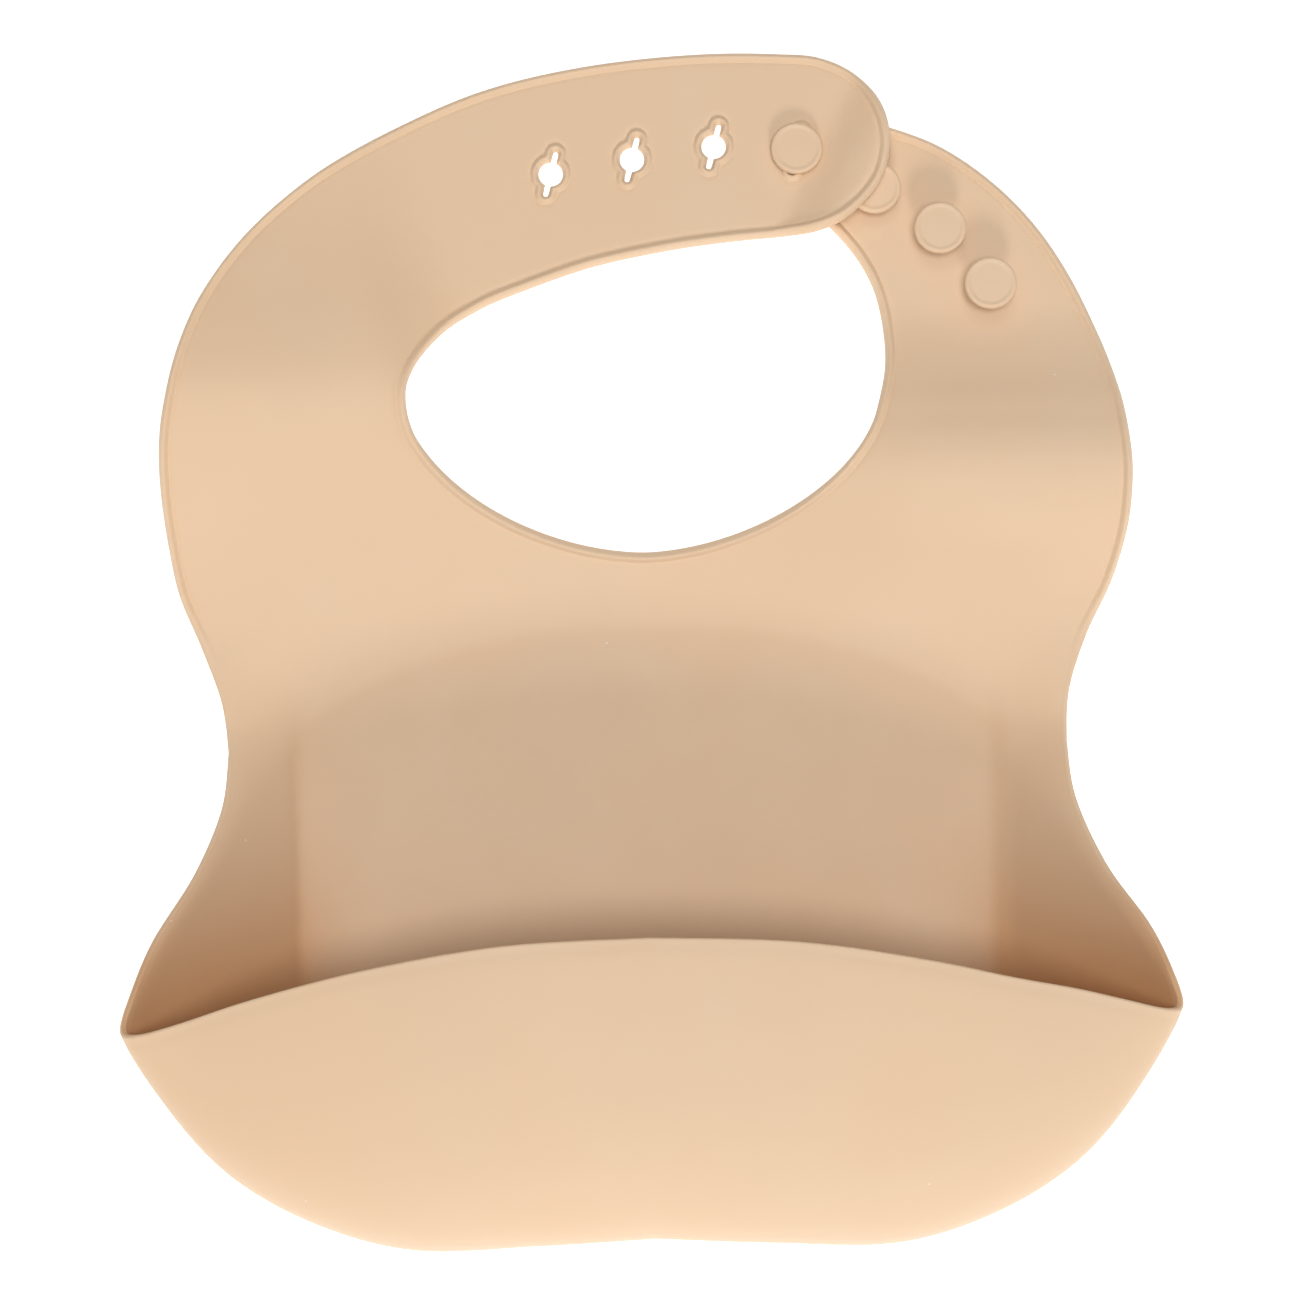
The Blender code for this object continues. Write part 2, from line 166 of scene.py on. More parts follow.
def curve_through(points, per_span):
    """A Catmull-Rom curve through points of any dimension."""
    p = np.array(points, float)
    p = np.vstack([p[:1], p, p[-1:]])
    out = []
    for i in range(1, len(p) - 2):
        t = np.linspace(0.0, 1.0, per_span, endpoint=False)[:, None]
        a, b, c, d = p[i - 1], p[i], p[i + 1], p[i + 2]
        out.append(b + 0.5 * t * (c - a + t * (2 * a - 5 * b + 4 * c - d + t * (3 * (b - c) + d - a))))
    out.append(p[-2:-1])
    return np.vstack(out)


def lengths_along(line):
    steps = np.linalg.norm(np.diff(line, axis=0), axis=1)
    return np.concatenate([[0.0], np.cumsum(steps)])


def at_lengths(line, along, where):
    return np.stack([np.interp(where, along, line[:, j]) for j in range(line.shape[1])], axis=1)


def unit(vectors):
    return vectors / np.linalg.norm(vectors, axis=-1, keepdims=True)


# ---- The shape of the sheet: Y of its middle plane --------------------------
SWELL = 1.22                # scale of the depths in the two tables below
SWELL_MIDDLE = 0.3          # share of the swell that is left in the middle of the chest
SWELL_SIDES = (5.0, 72.0)   # it grows to its full depth between these distances from the middle
SWELL_CHANGE = 75.0         # one table turns into the other over this far on each side of the middle
# The chest swells forward to a soft ridge below each strap, given as (Z, Y). The ridge is higher up on the -X side.
LEFT_SWELL = curve_through([
    (-120.0, 0.0), (-84.0, 0.0), (-72.0, 0.0), (-54.0, -0.4), (-45.0, -1.8), (-37.0, -4.0), (-29.0, -7.0),
    (-20.0, -10.7), (-11.0, -13.7), (-3.0, -15.2), (5.0, -15.2), (15.0, -13.2), (27.0, -10.0), (40.0, -6.9),
    (54.0, -4.6), (70.0, -3.0), (95.0, -1.4),
], 8)
RIGHT_SWELL = curve_through([
    (-120.0, 0.0), (-84.0, 0.0), (-72.0, 0.0), (-56.0, -0.4), (-48.0, -1.6), (-40.0, -4.4), (-33.0, -7.8),
    (-26.0, -10.4), (-18.0, -11.6), (-11.0, -10.6), (-4.0, -8.2), (4.0, -6.0), (14.0, -4.6), (26.0, -3.6),
    (42.0, -2.0), (66.0, 0.2), (95.0, 2.4),
], 8)


def arch_line(x):
    """Z of the arch across the top of the back plate."""
    return ARCH_TOP - ARCH_DROP * (np.minimum(np.abs(x), CREASE_X) / (CREASE_X + 3.0)) ** ARCH_POWER


def chest_depth(x, z):
    """The back plate, the arch above it and the chest sheet up to the shoulders."""
    side = np.abs(x)
    fold = ARCH_SLOPE * ARCH_FADE * (1.0 - np.exp(-soft_ramp(z - arch_line(x), ARCH_BLEND) / ARCH_FADE))
    to_right = smooth_step(x, -SWELL_CHANGE, SWELL_CHANGE)
    left = np.interp(z, LEFT_SWELL[:, 0], LEFT_SWELL[:, 1])
    right = np.interp(z, RIGHT_SWELL[:, 0], RIGHT_SWELL[:, 1])
    share = SWELL_MIDDLE + (1.0 - SWELL_MIDDLE) * smooth_step(side, *SWELL_SIDES)
    wave = SWELL * (left + (right - left) * to_right) * share
    fade = (np.clip(FLARE_TOP - z, 0.0, None) / (FLARE_TOP - WAIST_Z)) ** FLARE_POWER
    blend = np.where(x < 0, CREASE_BLEND_LEFT, CREASE_BLEND_RIGHT)
    flare = FLARE_SLOPE * soft_ramp(side - CREASE_X, blend) * fade
    return wave - fold - flare


def strap_level(z):
    """The flat plane in which the two straps meet."""
    return STRAP_LEVEL + STRAP_SLOPE * np.clip(z - STRAP_SLOPE_START, 0.0, None)


def along_strap(x, z):
    """Distance past the tab's fold line, negative on the strap."""
    across = unit(np.subtract(TAB_FOLD_TOP, TAB_FOLD_BOTTOM))
    return (x - TAB_FOLD_BOTTOM[0]) * across[1] - (z - TAB_FOLD_BOTTOM[1]) * across[0]


def left_strap_depth(x, z):
    """The strap with the tab: it takes over from the chest and flattens towards the tab."""
    started = smooth_step(z, SHOULDER_SEAM_Z, SHOULDER_SEAM_Z + STRAP_START)
    near_tab = smooth_step(along_strap(x, z), *STRAP_FLATTEN) * started
    chest = chest_depth(x, z)
    return chest + (strap_level(z) - chest) * near_tab


def tab_depth(x, z):
    """The tab: the strap's plane, rising over the second stud's head."""
    (x1, z1), (x2, z2) = STUD_PLACES[0], STUD_PLACES[1]
    pitch = math.hypot(x2 - x1, z2 - z1)
    along = ((x - x1) * (x2 - x1) + (z - z1) * (z2 - z1)) / pitch
    return left_strap_depth(x, z) - TAB_LIFT * smooth_step(along, TAB_LIFT_START, TAB_LIFT_END)


def right_strap_depth(x, z):
    """The strap with the studs, which ends in the plane behind the tab."""
    near_tip = smooth_step(z, *TIP_FLATTEN)
    chest = chest_depth(x, z)
    return chest + (strap_level(z) + STRAP_SPACING - chest) * near_tip


def surface(depth, points):
    """Points of a sheet's middle plane at (x, z), and its unit normals towards the back."""
    e = 0.05
    x, z = points[:, 0], points[:, 1]
    y = depth(x, z)
    slope_x = (depth(x + e, z) - depth(x - e, z)) / (2 * e)
    slope_z = (depth(x, z + e) - depth(x, z - e)) / (2 * e)
    normal = unit(np.stack([-slope_x, np.ones_like(y), -slope_z], axis=1))
    return np.stack([x, y, z], axis=1), normal


# ---- The profile of an edge -------------------------------------------------
def half_thickness(inside, bead):
    """Half the sheet's thickness at a distance inside the edge. The plain lip is thinner than the beaded edge."""
    at_edge = HALF_LIP + (HALF_SHEET - HALF_LIP) * bead
    half = at_edge + (HALF_SHEET - at_edge) * smooth_step(inside, LIP_FLAT, LIP_WIDTH)
    radius = LIP_ROUND + (EDGE_ROUND - LIP_ROUND) * bead
    return half * np.sqrt(1.0 - np.clip(1.0 - inside / radius, 0.0, 1.0) ** 2)


def bead_rise(inside, bead, height, width):
    """How far the front face rises along an edge: a round bead with a fine crease along its inner side."""
    middle = width / 2
    hump = np.cos(0.5 * math.pi * np.clip((inside - middle) / middle, -1.0, 1.0)) ** 2
    crease_at = CREASE_PLACE * width / BEAD_WIDTH
    crease = np.exp(-((inside - crease_at) / CREASE_WIDTH) ** 2)
    return bead * (height * hump - CREASE_DEPTH * crease)


# ---- The free edge of the moulding ------------------------------------------
RIGHT_SIDE = [
    (95.2, WAIST_Z), (96.3, -68.0), (100.4, -56.0), (106.0, -44.0), (109.0, -32.0), (109.9, -20.0), (109.4, -10.0),
]
BUTTON_STRAP = [
    (108.1, -0.6), (104.7, 11.4), (98.8, 25.2), (91.0, 37.8), (81.2, 48.4), (69.8, 56.7), (58.4, 61.5),
    (47.6, 64.4), (38.0, 66.6), (30.0, 66.8), (24.6, 63.0), (22.6, 56.4), (25.0, 49.8), (32.0, 45.6),
    (39.2, 42.2), (45.2, 36.8), (50.2, 30.2), (53.6, 22.8), (55.2, 14.0), (55.2, 5.5),
]
HOLE_STRAP = [(-52.9, -2.4), (-52.7, 3.0), (-49.7, 9.2), (-44.0, 15.6), (-37.2, 20.0)]
TAB = [
    TAB_FOLD_BOTTOM, (-12.0, 29.4), (5.6, 33.1), (20.0, 35.0), (33.0, 36.1), (40.6, 37.0), (47.6, 40.2),
    (54.8, 48.0), (57.2, 57.6), (55.4, 66.4), (50.0, 73.4), (41.7, 77.5), (32.0, 78.5), (17.8, 78.8),
    (1.8, 77.9), (-14.2, 75.9), (-30.2, 72.5), TAB_FOLD_TOP,
]
LEFT_SIDE = [
    (-61.2, 59.4), (-76.6, 49.3), (-89.1, 37.8), (-98.2, 25.0), (-103.4, 12.8), (-106.7, -0.6), (-108.2, -10.0),
    (-108.6, -20.0), (-108.0, -32.0), (-106.2, -44.0), (-101.4, -56.0), (-97.0, -68.0), (-95.2, WAIST_Z),
]


def neck_edge(steps):
    """Lower half of the neck opening, from +X round the bottom to just short of -X, where HOLE_STRAP takes over."""
    points = []
    for i in range(1, steps - 1):
        turn = math.pi * i / steps
        across = math.copysign(abs(math.cos(turn)) ** (2.0 / NECK_POWER), math.cos(turn))
        down = math.sin(turn) ** (2.0 / NECK_POWER)
        points.append((NECK_HALF_WIDTH * across, -NECK_DEPTH * down))
    return points


class FreeEdge:
    """The edge from the +X waist round the button strap, the neck, the tab and down to the -X waist.

    The sheet lies on its left. Places on it are lengths along it from its start.
    """

    def __init__(self):
        control = RIGHT_SIDE + BUTTON_STRAP + neck_edge(24) + HOLE_STRAP + TAB + LEFT_SIDE
        line = curve_through(control, 24)
        along = lengths_along(line)
        keep = np.concatenate([[True], np.diff(along) > 1e-6])
        self.line = line[keep]
        self.along = along[keep]
        tangent = unit(np.gradient(self.line, self.along, axis=0))
        self.inward = np.stack([-tangent[:, 1], tangent[:, 0]], axis=1)

    def crossings(self, value):
        """Places where a function of (x, z) changes sign."""
        v = value(self.line[:, 0], self.line[:, 1])
        hits = np.nonzero(v[:-1] * v[1:] < 0)[0]
        return [float(np.interp(0.0, *sort_pair(v[i:i + 2], self.along[i:i + 2]))) for i in hits]

    def points(self, places):
        return at_lengths(self.line, self.along, places)

    def normals(self, places):
        return unit(at_lengths(self.inward, self.along, places))


def sort_pair(values, places):
    return (values, places) if values[0] < values[1] else (values[::-1], places[::-1])


EDGE = FreeEdge()
RIGHT_OUTER, RIGHT_NECK, LEFT_NECK, LEFT_OUTER = EDGE.crossings(lambda x, z: z - SHOULDER_SEAM_Z)
TAB_ENDS = EDGE.crossings(lambda x, z: along_strap(x, z) + TAB_SEAM)
TAB_LOW, TAB_HIGH = [place for place in TAB_ENDS if LEFT_NECK < place < LEFT_OUTER]
LIP_LEAN = 1.0 / abs(EDGE.normals([0.0])[0, 0])     # the waist seam meets the rim at a slight angle


def bead_amount(points):
    """1 where the edge has its bead, 0 on the plain rim around the waist."""
    return np.where(np.abs(points[:, 0]) > BEAD_SIDE, smooth_step(points[:, 1], *BEAD_FADE), 1.0)


# ---- Wear and painted shade -------------------------------------------------
# Distances are across from the middle and down from the origin.
CORNER_ACROSS, CORNER_DOWN = (62.0, 88.0), (90.0, 146.0)    # the painted shade deepens into the pocket's corners
SHADED_CREASE = 80.8         # painted shade along the fold beside the back plate
SHADED_CREASE_WIDTH = 2.2
SHADED_CREASE_DOWN = (62.0, 84.0)
PLATE_EDGE = (78.0, 86.0)   # the shade painted on the back plate ends here
PLATE_TOP = (-1.5, 2.5)     # below the arch
ARCH_SHADE_FADE = 7.0
CREASE_SHADE, PLATE_SHADE, ARCH_SHADE = 0.14, 0.05, 0.12


def wear_at(inside):
    """1 on the rim and the bead's crown, where the moulding is rubbed pale, fading to 0 inside the sheet."""
    return 1.0 - smooth_step(inside, 0.5 * BEAD_WIDTH, 1.1 * BEAD_WIDTH)


def painted_shade_at(points):
    """0 to 1: how much shade is painted into the colour. Most of it gathers in the pocket's corners and the folds; a
    little covers the back plate, more in a band just below the arch.
    """
    across, down = np.abs(points[:, 0]), -points[:, 2]
    corners = smooth_step(across, *CORNER_ACROSS) * smooth_step(down, *CORNER_DOWN)
    creases = np.exp(-((across - SHADED_CREASE) / SHADED_CREASE_WIDTH) ** 2) * smooth_step(down, *SHADED_CREASE_DOWN)
    below = arch_line(points[:, 0]) - points[:, 2]
    plate = smooth_step(below, *PLATE_TOP) * (1.0 - smooth_step(across, *PLATE_EDGE))
    arch = plate * np.exp(-np.abs(below) / ARCH_SHADE_FADE)
    return np.clip(corners + CREASE_SHADE * creases + PLATE_SHADE * plate + ARCH_SHADE * arch, 0.0, 1.0)


# ---- Skins ------------------------------------------------------------------
class Skin:
    """A closed sheet with a front and a back face, gathered point by point."""

    def __init__(self):
        self.front = []
        self.back = []
        self.faces = []
        self.caps = []
        self.middle = []
        self.normal = []
        self.above = []
        self.below = []
        self.edge = []

    def add(self, middle, normal, above, below, inside=LIP_WIDTH):
        """Add points of the middle plane with their distances to the two faces. Returns their numbers."""
        first = len(self.middle)
        self.edge.extend(np.broadcast_to(inside, (len(middle),)))
        self.middle.extend(middle)
        self.normal.extend(normal)
        self.above.extend(above)
        self.below.extend(below)
        return np.arange(first, len(self.middle))

    def add_plain(self, depth, points):
        """Add points (x, z) where the sheet has its full thickness. Returns their numbers."""
        middle, normal = surface(depth, points)
        full = np.full(len(points), HALF_SHEET)
        return self.add(middle, normal, full, full)

    def face(self, *corners):
        self.faces.append(corners)

    def strips(self, table, closed=False):
        """Quads over a table of point numbers whose rows run further and further into the sheet."""
        rows, columns = table.shape
        for j in range(rows - 1):
            for k in range(columns if closed else columns - 1):
                m = (k + 1) % columns
                self.face(table[j, k], table[j, m], table[j + 1, m], table[j + 1, k])

    def cap(self, numbers):
        """A narrow wall across the sheet's thickness along a seam."""
        self.caps.append(list(numbers))

    def build(self, name):
        """Make the mesh. Where the sheet has no thickness, its two faces share their points."""
        middle, normal = np.array(self.middle), np.array(self.normal)
        above, below = np.array(self.above)[:, None], np.array(self.below)[:, None]
        front = middle - normal * above
        back = middle + normal * below
        thin = (np.array(self.above) + np.array(self.below)) < 1e-9
        back_number = np.where(thin, np.arange(len(front)), len(front) + np.cumsum(~thin) - 1)
        points = np.vstack([front, back[~thin]])
        faces = [tuple(int(n) for n in f) for f in self.faces]
        reverse = [tuple(int(back_number[n]) for n in reversed(f)) for f in self.faces]
        walls = []
        for line in self.caps:
            for a, b in zip(line, line[1:]):
                wall = [int(b), int(a), int(back_number[a]), int(back_number[b])]
                walls.append(tuple(n for i, n in enumerate(wall) if n not in wall[:i]))
        mesh = bpy.data.meshes.new(name)
        mesh.from_pydata((points * MM).tolist(), [], faces + reverse + walls)
        mesh.update()
        wear = wear_at(np.array(self.edge))
        wear = np.concatenate([wear, wear[~thin]])
        # Shade painted into the colour, on the front face's points only.
        painted_shade = np.concatenate([painted_shade_at(middle), np.zeros(len(points) - len(middle))])
        for label, values in (("wear", wear), ("painted_shade", painted_shade)):
            mesh.attributes.new(label, "FLOAT", "POINT").data.foreach_set("value", values.astype(np.float32))
        thing = bpy.data.objects.new(name, mesh)
        bpy.context.scene.collection.objects.link(thing)
        return thing, len(walls)


def edge_strip(skin, depth, start, end, start_way, end_way):
    """Rows of points along a stretch of the free edge. start_way and end_way are the seams' directions there."""
    places = np.linspace(start, end, max(int(round((end - start) / EDGE_STEP)), 2) + 1)
    points = EDGE.points(places)
    inward = EDGE.normals(places)
    along = np.stack([inward[:, 1], -inward[:, 0]], axis=1)
    shear = np.zeros(len(places))
    for way, at, where in ((start_way, 0, start), (end_way, -1, end)):
        lean = float(np.dot(way, along[at]) / np.dot(way, inward[at]))
        shear += lean * (1.0 - smooth_step(np.abs(places - where), 0.0, SEAM_REACH))
    bead = bead_amount(points)
    rows = []
    for inside in RINGS:
        ring = points + inside * (inward + along * shear[:, None])
        middle, normal = surface(depth, ring)
        half = half_thickness(np.full(len(ring), inside), bead)
        rise = bead_rise(inside, bead, BEAD_HEIGHT, BEAD_WIDTH)
        rows.append(skin.add(middle, normal, half + np.where(half > 0, rise, 0.0), half, inside))
    table = np.array(rows)
    skin.strips(table)
    return table


def inside_loop(points, loop):
    """Which points lie inside a closed loop."""
    x, z = points[:, 0:1], points[:, 1:2]
    x1, z1 = loop[:, 0], loop[:, 1]
    x2, z2 = np.roll(x1, -1), np.roll(z1, -1)
    crosses = (z1 > z) != (z2 > z)
    with np.errstate(divide="ignore", invalid="ignore"):
        meet = x1 + (z - z1) * (x2 - x1) / (z2 - z1)
    return (np.sum(crosses & (x < meet), axis=1) % 2).astype(bool)


def fill(skin, depth, loops):
    """Triangles over the area inside the first loop of point numbers and outside the others."""
    flat = np.array(skin.middle)[:, (0, 2)]
    outer = flat[loops[0]]
    rim = np.concatenate([flat[loop] for loop in loops])
    low, high = outer.min(axis=0), outer.max(axis=0)
    rows = np.arange(low[1], high[1], GRID * math.sqrt(3) / 2)
    spots = []
    for number, z in enumerate(rows):
        x = np.arange(low[0] + (number % 2) * GRID / 2, high[0], GRID)
        spots.append(np.stack([x, np.full(len(x), z)], axis=1))
    spots = np.concatenate(spots)
    keep = inside_loop(spots, outer)
    for loop in loops[1:]:
        keep &= ~inside_loop(spots, flat[loop])
    spots = spots[keep]
    nearest = np.array([np.min(np.sum((rim - spot) ** 2, axis=1)) for spot in spots])
    spots = spots[nearest > (GRID_CLEAR * GRID) ** 2]
    numbers = np.concatenate([*loops, skin.add_plain(depth, spots)])
    corners = [Vector(c) for c in np.concatenate([rim, spots])]
    edges, first = [], 0
    for loop in loops:
        edges += [(first + i, first + (i + 1) % len(loop)) for i in range(len(loop))]
        first += len(loop)
    _, _, triangles, origin, _, _ = delaunay_2d_cdt(corners, edges, [], 0, 1e-5)
    original = [ids[0] for ids in origin]
    where = np.concatenate([rim, spots])
    triangles = np.array([[original[i] for i in t] for t in triangles])
    centres = where[triangles].mean(axis=1)
    keep = inside_loop(centres, outer)
    for loop in loops[1:]:
        keep &= ~inside_loop(centres, flat[loop])
    for a, b, c in triangles[keep]:
        pa, pb, pc = where[a], where[b], where[c]
        turn = (pb[0] - pa[0]) * (pc[1] - pa[1]) - (pb[1] - pa[1]) * (pc[0] - pa[0])
        if turn > 0:
            skin.face(numbers[a], numbers[b], numbers[c])
        else:
            skin.face(numbers[a], numbers[c], numbers[b])


def seam_points(skin, depth, start, end):
    """Points of a seam between two points given by their numbers. It bows a little, so no three are in line."""
    start, end = [(skin.middle[number][0], skin.middle[number][2]) for number in (start, end)]
    count = max(int(round(math.dist(start, end) / GRID)), 1)
    share = np.linspace(0.0, 1.0, count + 1)[1:-1, None]
    points = np.array(start) * (1.0 - share) + np.array(end) * share
    points += SEAM_BOW * share * (1.0 - share)
    return skin.add_plain(depth, points)


# ---- Buttonholes ------------------------------------------------------------
# The rings of an edge, drawn in to fit the narrower bead
HOLE_RINGS = np.array(RINGS) * np.array([HOLE_BEAD_WIDTH / BEAD_WIDTH] * 13 + [0.9, 0.95, 1.0])


def hole_reach(turn, inside):
    """Distance from a buttonhole's middle to the line that runs a distance inside the sheet from its edge.

    turn is the angle from the slit's axis. The outline is a round hole joined softly to a long narrow slit.
    """
    half = SLIT_HALF_WIDTH + inside
    tip = SLIT_HALF_LENGTH - SLIT_HALF_WIDTH
    sine, cosine = np.abs(np.sin(turn)), np.abs(np.cos(turn))
    side = half / np.maximum(sine, 1e-9)
    end = tip * cosine + np.sqrt(np.maximum(half ** 2 - (tip * sine) ** 2, 0.0))
    slit = np.where(side * cosine < tip, side, end)
    round_part = HOLE_RADIUS + inside
    soft = HOLE_BLEND + 0.1 * inside
    mix = np.clip(0.5 + 0.5 * (slit - round_part) / soft, 0.0, 1.0)
    return round_part + (slit - round_part) * mix + soft * mix * (1.0 - mix) * 0.5


def hole_turns():
    """Angles whose points are evenly spaced along the outline."""
    turn = np.linspace(0.0, 2 * math.pi, 4001)
    reach = hole_reach(turn, 0.5)
    line = np.stack([reach * np.sin(turn), reach * np.cos(turn)], axis=1)
    along = lengths_along(line)
    return np.interp(np.linspace(0.0, along[-1], HOLE_STEPS, endpoint=False), along, turn)


def buttonhole(skin, depth, centre):
    """Rings of points round one buttonhole. The inmost ring is the edge of the hole."""
    turn = hole_turns()
    rows = []
    for inside in HOLE_RINGS:
        reach = hole_reach(turn, inside)
        x = centre[0] + reach * np.sin(turn + HOLE_TILT)
        z = centre[1] + reach * np.cos(turn + HOLE_TILT)
        middle, normal = surface(depth, np.stack([x, z], axis=1))
        half = half_thickness(np.full(len(x), inside), 1.0)
        rise = bead_rise(inside, 1.0, HOLE_BEAD_HEIGHT, HOLE_BEAD_WIDTH) if inside > 0 else 0.0
        rows.append(skin.add(middle, normal, half + rise, half, inside))
    table = np.array(rows)
    skin.strips(table, closed=True)
    return table[-1]


# ---- The pocket -------------------------------------------------------------
# One side of the pocket as sections, from the waist round the front corner to the middle. Each section is a cubic
# line given by four points (x, y, z): on the fold beside the back plate, two handles, and on the rim.
POCKET_SECTIONS = [
    ((81.0, 0.0, -79.6), (85.7, -2.84, -79.6), (90.5, -5.68, -79.6), (95.2, -8.52, -79.6)),
    ((81.0, 0.0, -92.0), (86.0, -4.7, -92.2), (91.3, -9.6, -92.1), (96.1, -14.2, -92.0)),
    ((81.0, 0.0, -106.0), (88.0, -7.5, -107.0), (95.0, -15.0, -106.8), (101.2, -22.0, -106.0)),
    ((81.0, 0.0, -120.0), (90.4, -10.0, -122.0), (100.7, -20.5, -122.0), (109.4, -30.5, -120.0)),
    ((81.0, 0.0, -132.0), (93.4, -11.0, -136.0), (106.8, -24.0, -137.0), (113.6, -36.5, -131.5)),
    ((80.6, 0.0, -146.0), (96.2, -11.0, -154.6), (109.4, -26.0, -152.0), (115.1, -39.0, -138.2)),
    ((78.4, 0.0, -156.4), (91.6, -14.0, -169.4), (107.6, -36.0, -163.3), (111.8, -41.2, -139.2)),
    ((73.0, 0.0, -166.6), (83.0, -17.0, -182.9), (98.9, -43.0, -177.9), (103.0, -42.3, -137.0)),
    ((61.4, 0.0, -175.0), (67.6, -19.0, -191.8), (81.6, -51.0, -189.8), (86.0, -43.8, -131.6)),
    ((46.0, 0.0, -178.3), (49.8, -20.0, -196.6), (58.2, -55.0, -198.3), (62.0, -45.2, -125.6)),
    ((24.0, 0.0, -178.3), (26.0, -20.0, -196.0), (30.0, -58.0, -198.0), (32.0, -46.5, -120.7)),
    ((0.0, 0.0, -178.3), (0.0, -20.0, -194.6), (0.0, -59.0, -195.5), (0.0, -47.0, -119.3)),
]
CORNER_RAISE = 2.3          # the lip's corner at +X sits this much higher than the other
RAISE_ACROSS, RAISE_START, RAISE_END = (72.0, 108.0), (108.0, 134.0), (140.0, 176.0)    # where it fades in and out
POCKET_STEPS_ALONG = 8
POCKET_COLUMNS = 52
FINE = 400


def pocket_sections():
    """All sections from the waist at -X round to the waist at +X."""
    half = [curve_through([section[k] for section in POCKET_SECTIONS], POCKET_STEPS_ALONG) for k in range(4)]
    half = np.stack(half, axis=1)
    mirror = half * np.array([-1.0, 1.0, 1.0])
    sections = np.concatenate([mirror, half[-2::-1]])
    x, down = sections[..., 0], -sections[..., 2]
    at_corner = smooth_step(x, *RAISE_ACROSS) * smooth_step(down, *RAISE_START) * (1.0 - smooth_step(down, *RAISE_END))
    sections[..., 2] += CORNER_RAISE * at_corner
    return sections


def inward_on_plate(folds):
    """Unit directions on the back plate, square to the line of the folds and away from the pocket's walls."""
    flat = folds[:, (0, 2)]
    tangent = unit(np.gradient(flat, axis=0))
    return np.stack([-tangent[:, 1], np.zeros(len(folds)), tangent[:, 0]], axis=1)


def section_line(section, inward, blend):
    """A dense line from the seam on the plate, round the fold, along the section to the rim."""
    t = np.linspace(0.0, 1.0, FINE)[:, None]
    s = 1.0 - t
    curve = s ** 3 * section[0] + 3 * s * s * t * section[1] + 3 * s * t * t * section[2] + t ** 3 * section[3]
    plate = section[0] + inward * SEAM_INSET * np.linspace(1.0, 0.0, FINE // 4, endpoint=False)[:, None]
    line = np.vstack([plate, curve])
    along = lengths_along(line)
    where = np.linspace(0.0, along[-1], 2 * FINE)
    reach = blend * (1.0 - smooth_step(where, SEAM_INSET + blend, SEAM_INSET + 3 * blend))
    reach = np.minimum(reach, where)
    total = np.zeros((len(where), 3))
    windows = np.linspace(-1.0, 1.0, 17)
    for u in windows:
        total += at_lengths(line, along, where + u * reach)
    return total / len(windows)


def pocket_grid():
    """Rows of (point, distance from the rim) over the whole pocket."""
    sections = pocket_sections()
    inward = inward_on_plate(sections[:, 0])
    grid, inside = [], []
    for number, section in enumerate(sections):
        share = smooth_step(section[0][0], -CREASE_CHANGE, CREASE_CHANGE)
        blend = CREASE_BLEND_LEFT + (CREASE_BLEND_RIGHT - CREASE_BLEND_LEFT) * share
        line = section_line(section, inward[number], blend)
        along = lengths_along(line)
        total = along[-1]
        inner = np.linspace(0.0, total - LIP_WIDTH, POCKET_COLUMNS)
        where = np.concatenate([inner[:-1], total - np.array(RINGS[::-1])])
        grid.append(at_lengths(line, along, where))
        inside.append(total - where)
    return np.array(grid), np.array(inside)


def waist_row(side):
    """Points of the waist seam as (x, z), from the plate out to the rim."""
    rim = RIGHT_SIDE[0][0] - LIP_LEAN * np.array(RINGS[::-1])
    inner = np.linspace(CREASE_X - SEAM_INSET, rim[0], POCKET_COLUMNS)
    x = np.concatenate([inner[:-1], rim])
    return np.stack([side * x, np.full(len(x), WAIST_Z)], axis=1)


GRID_POINTS, GRID_INSIDE = pocket_grid()
PLATE_SEAM = GRID_POINTS[:, 0][:, (0, 2)]


# ---- The skins --------------------------------------------------------------
def chest_sheet():
    """The upper part of the back plate and the chest, from the pocket's seam up to the straps' seams."""
    skin = Skin()
    right_side = edge_strip(skin, chest_depth, 0.0, RIGHT_OUTER, LEFTWARD, LEFTWARD)
    neck = edge_strip(skin, chest_depth, RIGHT_NECK, LEFT_NECK, RIGHTWARD, LEFTWARD)
    left_side = edge_strip(skin, chest_depth, LEFT_OUTER, EDGE.along[-1], RIGHTWARD, RIGHTWARD)
    seam_right = seam_points(skin, chest_depth, right_side[-1, -1], neck[-1, 0])
    seam_left = seam_points(skin, chest_depth, neck[-1, -1], left_side[-1, 0])
    rings = len(RINGS)
    bottom = np.concatenate([waist_row(-1)[:-rings][::-1], PLATE_SEAM[1:-1], waist_row(1)[:-rings]])
    seam_low = skin.add_plain(chest_depth, bottom)
    skin.cap([*right_side[:, -1], *seam_right, *neck[::-1, 0]])
    skin.cap([*neck[:, -1], *seam_left, *left_side[::-1, 0]])
    skin.cap([*left_side[:, -1], *seam_low, *right_side[::-1, 0]])
    loop = [*right_side[-1], *seam_right, *neck[-1], *seam_left, *left_side[-1], *seam_low]
    fill(skin, chest_depth, [np.array(loop)])
    return skin.build("chest_sheet")


def right_strap_skin():
    skin = Skin()
    edge = edge_strip(skin, right_strap_depth, RIGHT_OUTER, RIGHT_NECK, LEFTWARD, RIGHTWARD)
    seam = seam_points(skin, right_strap_depth, edge[-1, -1], edge[-1, 0])
    skin.cap([*edge[:, -1], *seam, *edge[::-1, 0]])
    fill(skin, right_strap_depth, [np.array([*edge[-1], *seam])])
    return skin.build("right_strap_skin")


def tab_seam_way():
    """Direction of the tab's seam, from its lower end to its upper end."""
    return unit(EDGE.points([TAB_HIGH])[0] - EDGE.points([TAB_LOW])[0])


